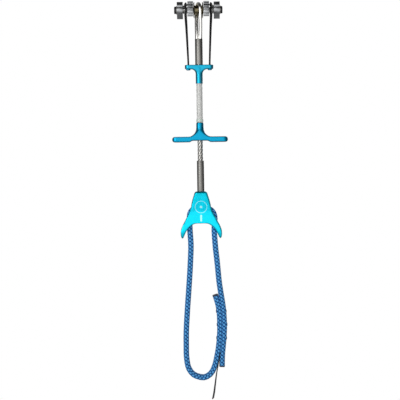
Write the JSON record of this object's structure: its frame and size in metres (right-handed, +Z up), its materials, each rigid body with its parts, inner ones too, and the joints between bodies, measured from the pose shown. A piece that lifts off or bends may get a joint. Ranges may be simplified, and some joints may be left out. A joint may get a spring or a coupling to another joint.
{
  "type": "single-stem climbing cam",
  "caption": "Spring-loaded camming device with toothed lobes on one axle, a wire-rope stem, a trigger bar, a thumb press and a sewn webbing sling.",
  "frame": {"origin": "centre of the axle, midway between its ends", "axes": "+Z up along the stem towards the head, +X along the axle, -Y the front, towards which the inner lobes' tips point"},
  "size_m": [0.042, 0.019, 0.2979],
  "materials": {
    "axle_steel": "turned",
    "black_cap": "black oxide, satin",
    "lobe_alloy": "machined, bead blasted",
    "bronze": "dark, satin",
    "bright_wire": "polished",
    "spring_steel": "drawn wire",
    "ferrule_steel": "swaged, brushed",
    "wire_rope": "seven-strand wire rope",
    "collar_blue": "anodised, satin",
    "trigger_blue": "anodised, satin",
    "press_blue": "anodised, satin",
    "clear_sleeve": "clear",
    "pale_ring": "translucent",
    "black_cord": "braided",
    "blue_webbing": "woven tubular webbing",
    "tack_thread": "bar-tacked thread",
    "black_label": "woven ribbon"
  },
  "bodies": {
    "stem": {"axle": "axle_steel", "axle_cap_left": "black_cap", "axle_cap_right": "black_cap", "axle_washers": "axle_steel", "spool": "bronze", "head_loop": "bright_wire", "spring_left": "spring_steel", "spring_right": "spring_steel", "upper_ferrule": "ferrule_steel", "stem_rope": "wire_rope"},
    "lobe_inner_left": {"lobe_inner_left": "lobe_alloy", "post_inner_left": "axle_steel"},
    "lobe_inner_right": {"lobe_inner_right": "lobe_alloy", "post_inner_right": "axle_steel"},
    "lobe_outer_left": {"lobe_outer_left": "lobe_alloy", "post_outer_left": "axle_steel"},
    "lobe_outer_right": {"lobe_outer_right": "lobe_alloy", "post_outer_right": "axle_steel"},
    "trigger": {"collar": "collar_blue", "cord_stops": "collar_blue", "sleeve": "clear_sleeve", "sleeve_ring": "pale_ring", "sleeve_stop": "axle_steel", "trigger_bar": "trigger_blue", "cord_inner_left": "black_cord", "cord_inner_right": "black_cord", "cord_outer_left": "black_cord", "cord_outer_right": "black_cord"},
    "handle": {"lower_ferrule": "ferrule_steel", "thumb_press": "press_blue", "sling_bight": "blue_webbing", "sling_left": "blue_webbing", "sling_right": "blue_webbing", "sling_tacks": "tack_thread", "sling_label": "black_label"}
  },
  "joints": [
    {"name": "trigger_slide", "type": "slide", "parent": "stem", "child": "trigger", "axis": [0, 0, -1], "range_m": [0, 0.00668], "stiffness_N_per_m": 800, "springref_m": -0.006, "deforming": ["cord_inner_left", "cord_inner_right", "cord_outer_left", "cord_outer_right"]},
    {"name": "lobe_inner_left_turn", "type": "hinge", "parent": "stem", "child": "lobe_inner_left", "pos_m": [0, 0, 0], "axis": [1, 0, 0], "range_deg": [0, 80.5]},
    {"name": "lobe_outer_left_turn", "type": "hinge", "parent": "stem", "child": "lobe_outer_left", "pos_m": [0, 0, 0], "axis": [-1, 0, 0], "range_deg": [0, 80.5]},
    {"name": "lobe_inner_right_turn", "type": "hinge", "parent": "stem", "child": "lobe_inner_right", "pos_m": [0, 0, 0], "axis": [1, 0, 0], "range_deg": [0, 80.5]},
    {"name": "lobe_outer_right_turn", "type": "hinge", "parent": "stem", "child": "lobe_outer_right", "pos_m": [0, 0, 0], "axis": [-1, 0, 0], "range_deg": [0, 80.5]},
    {"name": "stem_flex", "type": "hinge", "parent": "stem", "child": "handle", "pos_m": [0, 0, -0.1095], "axis": [1, 0, 0], "range_deg": [-15, 15], "stiffness_Nm_per_rad": 0.5, "deforming": ["stem_rope"]}
  ],
  "couplings": [
    {"joint": "lobe_inner_left_turn", "follows": "trigger_slide", "rad_per_m": 208.87},
    {"joint": "lobe_outer_left_turn", "follows": "trigger_slide", "rad_per_m": 208.87},
    {"joint": "lobe_inner_right_turn", "follows": "trigger_slide", "rad_per_m": 208.87},
    {"joint": "lobe_outer_right_turn", "follows": "trigger_slide", "rad_per_m": 208.87}
  ]
}
